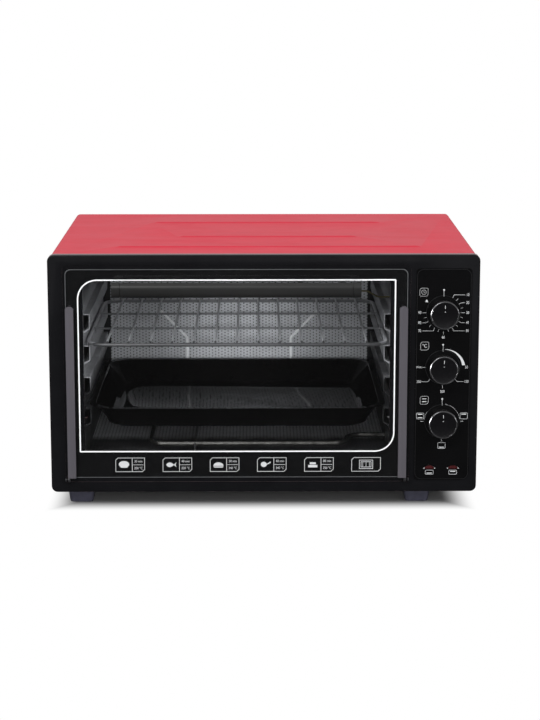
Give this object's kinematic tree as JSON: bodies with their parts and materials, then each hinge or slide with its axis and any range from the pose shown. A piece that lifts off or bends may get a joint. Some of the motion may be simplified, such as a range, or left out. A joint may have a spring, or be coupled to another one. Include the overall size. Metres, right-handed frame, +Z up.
{
  "type": "countertop mini oven",
  "caption": "Countertop mini oven with a red steel housing, a drop-down glass door with a bar handle, turning control knobs, tubular heaters, a wire rack and a baking tray.",
  "frame": {"origin": "on the table, under the middle of the oven's overall box", "axes": "+Z up, the door faces -Y, +X towards the control panel"},
  "size_m": [0.56, 0.4278, 0.3365],
  "materials": {
    "black_enamel": "gloss",
    "panel_gloss": "gloss",
    "red_paint": "semi-gloss",
    "zinc_steel": "dull",
    "liner_steel": "embossed, satin",
    "tray_enamel": "high gloss",
    "chrome_wire": "polished",
    "heater_sheath": "heat-dulled",
    "door_glass": "clear, tinted",
    "trim_grey": "satin",
    "handle_grey": "satin, anodised",
    "knob_black": "satin",
    "foot_plastic": "matt",
    "ceramic": "matt",
    "bulb_metal": "dull",
    "gland_plastic": "matt",
    "lamp_red": "translucent",
    "print_white": "matt print"
  },
  "bodies": {
    "housing": {"front_frame": "black_enamel", "control_panel": "panel_gloss", "outer_cover": "red_paint", "base_panel": "zinc_steel", "rear_panel": "zinc_steel", "cord_gland": "gland_plastic", "foot_front_left": "foot_plastic", "foot_front_right": "foot_plastic", "foot_rear_left": "foot_plastic", "foot_rear_right": "foot_plastic", "cavity_side_left": "liner_steel", "cavity_side_right": "liner_steel", "cavity_roof": "liner_steel", "cavity_floor": "liner_steel", "cavity_back": "liner_steel", "upper_heater": "heater_sheath", "lower_heater": "heater_sheath", "upper_heater_comb": "zinc_steel", "lower_heater_comb": "zinc_steel", "upper_terminal_front": "ceramic", "upper_terminal_rear": "ceramic", "lower_terminal_front": "ceramic", "lower_terminal_rear": "ceramic", "wire_rack": "chrome_wire", "baking_tray": "tray_enamel", "thermostat_bulb": "bulb_metal", "bulb_clip_left": "zinc_steel", "bulb_clip_right": "zinc_steel", "selector_switch": "ceramic", "thermostat_body": "zinc_steel", "timer_body": "zinc_steel", "pilot_lens_left": "lamp_red", "pilot_lens_right": "lamp_red", "pilot_socket_left": "ceramic", "pilot_socket_right": "ceramic", "terminal_block": "ceramic", "hinge_pin_left": "zinc_steel", "hinge_pin_right": "zinc_steel", "door_spring_left": "chrome_wire", "door_spring_right": "chrome_wire"},
    "door": {"door_glass": "door_glass", "door_strip_left": "trim_grey", "door_strip_right": "trim_grey", "hinge_bracket_left": "zinc_steel", "hinge_bracket_right": "zinc_steel", "handle_bar": "handle_grey", "handle_end_left": "handle_grey", "handle_end_right": "handle_grey", "handle_bolt_left": "zinc_steel", "handle_bolt_right": "zinc_steel"},
    "timer": {"timer_knob": "knob_black", "timer_shaft": "zinc_steel"},
    "thermostat": {"thermostat_knob": "knob_black", "thermostat_shaft": "zinc_steel"},
    "selector": {"selector_knob": "knob_black", "selector_shaft": "zinc_steel"}
  },
  "joints": [
    {"name": "door_hinge", "type": "hinge", "parent": "housing", "child": "door", "pos_m": [0, -0.17845, 0.0379], "axis": [1, 0, 0], "range_deg": [0, 90], "stiffness_Nm_per_rad": 0.45, "springref_deg": -34.38, "deforming": ["door_spring_left", "door_spring_right"]},
    {"name": "timer_turn", "type": "hinge", "parent": "housing", "child": "timer", "pos_m": [0.2332, -0.17685, 0.2608], "axis": [0, 1, 0], "range_deg": [-49, 270]},
    {"name": "thermostat_turn", "type": "hinge", "parent": "housing", "child": "thermostat", "pos_m": [0.2332, -0.17685, 0.1883], "axis": [0, 1, 0], "range_deg": [0, 270]},
    {"name": "selector_turn", "type": "hinge", "parent": "housing", "child": "selector", "pos_m": [0.2332, -0.17685, 0.1158], "axis": [0, 1, 0], "range_deg": [0, 270]}
  ]
}
